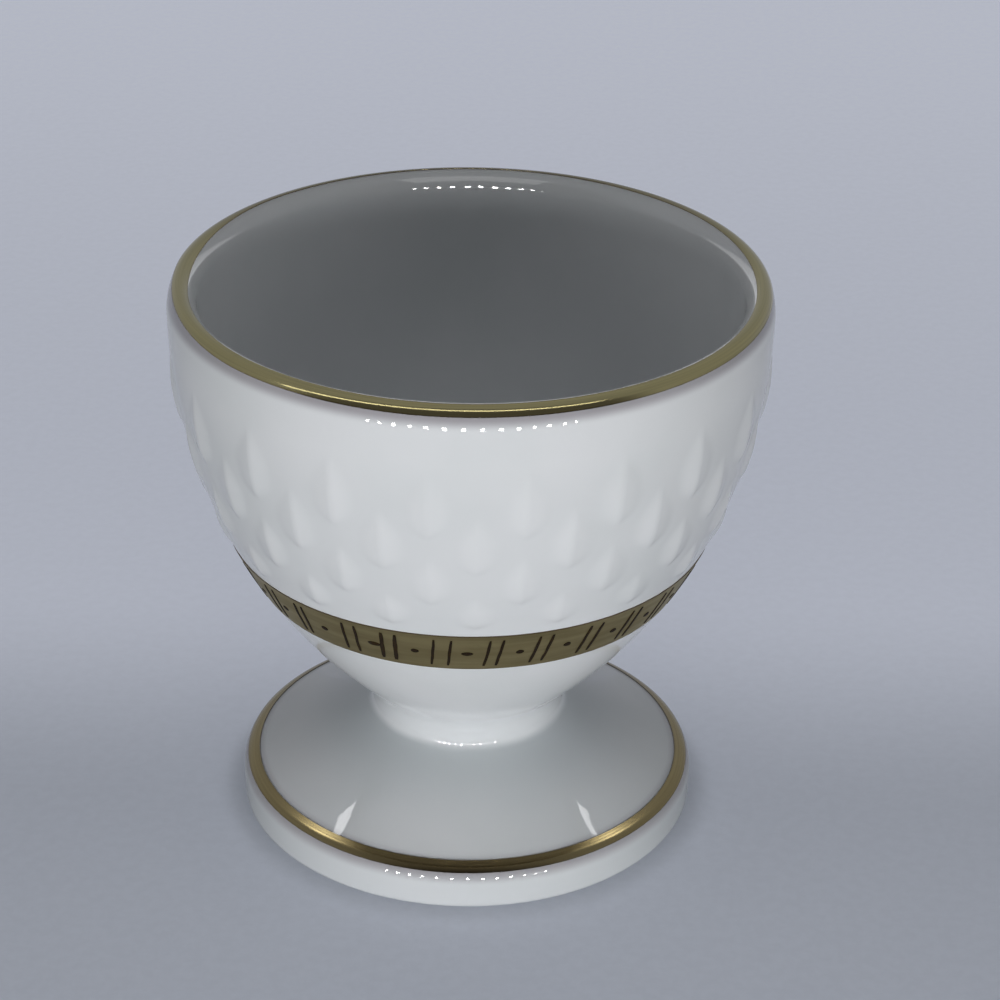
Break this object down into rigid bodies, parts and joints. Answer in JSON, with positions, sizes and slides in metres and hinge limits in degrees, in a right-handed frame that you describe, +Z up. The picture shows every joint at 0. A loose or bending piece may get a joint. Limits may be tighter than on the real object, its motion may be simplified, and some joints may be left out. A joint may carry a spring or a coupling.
{
  "type": "egg cup",
  "caption": "Footed egg cup in glazed china with a round embossed bowl, a hollow trumpet foot, gilded lip and foot line, and a gold band of strokes and dots.",
  "frame": {"origin": "on the table at the middle of the foot ring", "axes": "+Z up along the cup's axis; -Y faces the picture's camera and +X is to its right"},
  "size_m": [0.0502, 0.0502, 0.0495],
  "materials": {
    "china": "clear glaze, glossy",
    "gilding": "burnished gold, satin",
    "print": "fired enamel, satin"
  },
  "bodies": {
    "root": {"bowl": "china", "foot": "china", "rim_gilding": "gilding", "band_gilding": "gilding", "foot_gilding": "gilding", "band_strokes": "print", "band_dots": "print"}
  },
  "joints": []
}
